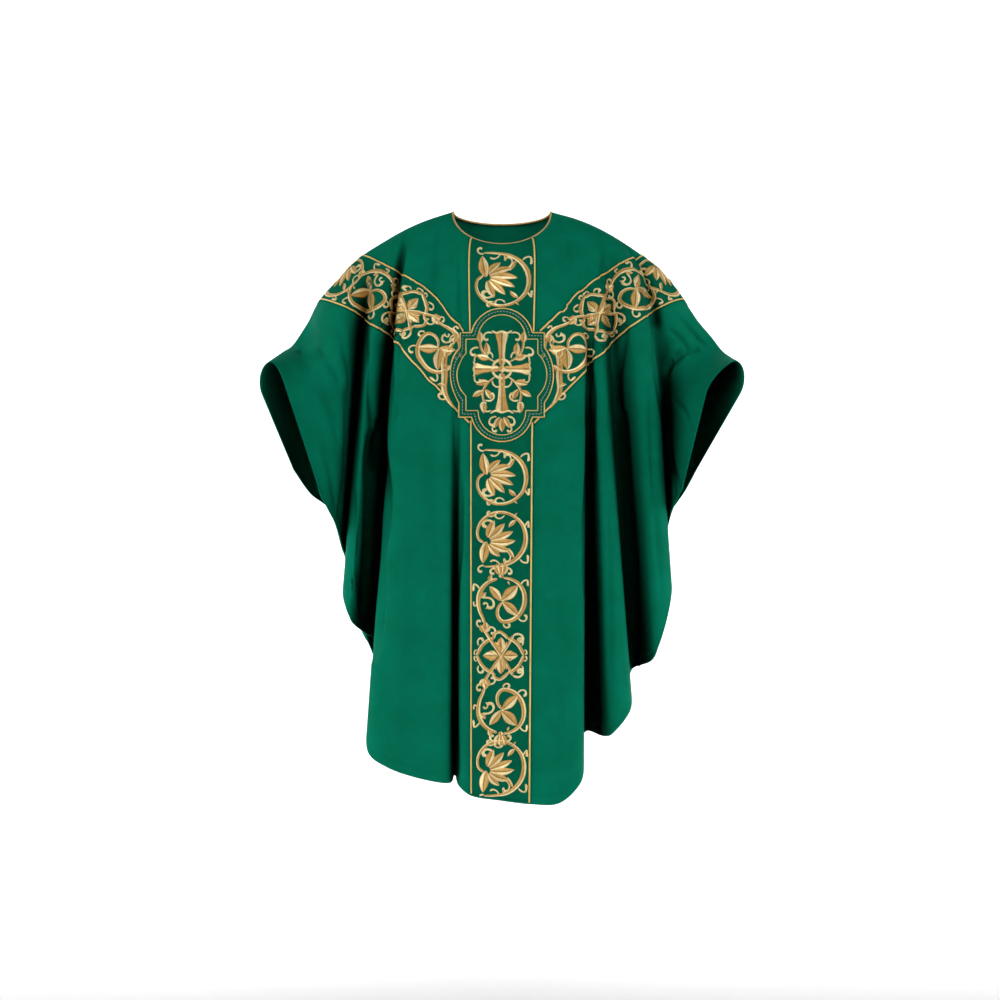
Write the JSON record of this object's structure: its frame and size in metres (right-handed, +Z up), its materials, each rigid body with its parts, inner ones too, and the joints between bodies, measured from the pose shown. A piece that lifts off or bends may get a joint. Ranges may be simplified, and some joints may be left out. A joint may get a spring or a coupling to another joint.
{
  "type": "worn full-cut gothic chasuble",
  "caption": "Wide sleeveless poncho-cut green vestment as worn with raised forearms, with a Y-shaped band front and back, gold braid edges and a lobed chest medallion.",
  "frame": {"origin": "middle of the neck opening at the height of the neck points, where the wearer's shoulders carry the cloth", "axes": "+X towards the wearer's left, +Y towards the back, +Z up; the front faces -Y"},
  "size_m": [1.0167, 0.367, 1.2546],
  "materials": {
    "green_cloth": "soft sheen",
    "band_cloth": "soft sheen",
    "gold_braid": "silky thread",
    "piping": "silky thread"
  },
  "bodies": {
    "root": {"front_panel": "green_cloth", "back_panel": "green_cloth", "neck_piping": "piping", "orphrey_pillar_front": "band_cloth", "orphrey_pillar_back": "band_cloth", "braid_pillar_front_upper_right": "gold_braid", "braid_pillar_front_lower_right": "gold_braid", "braid_pillar_back_right": "gold_braid", "braid_pillar_front_upper_left": "gold_braid", "braid_pillar_front_lower_left": "gold_braid", "braid_pillar_back_left": "gold_braid", "orphrey_arm_front_right": "band_cloth", "braid_arm_front_right_1": "gold_braid", "braid_arm_front_right_2": "gold_braid", "orphrey_arm_back_right": "band_cloth", "braid_arm_back_right_1": "gold_braid", "braid_arm_back_right_2": "gold_braid", "orphrey_arm_front_left": "band_cloth", "braid_arm_front_left_1": "gold_braid", "braid_arm_front_left_2": "gold_braid", "orphrey_arm_back_left": "band_cloth", "braid_arm_back_left_1": "gold_braid", "braid_arm_back_left_2": "gold_braid", "medallion": "band_cloth", "medallion_line": "gold_braid"}
  },
  "joints": []
}
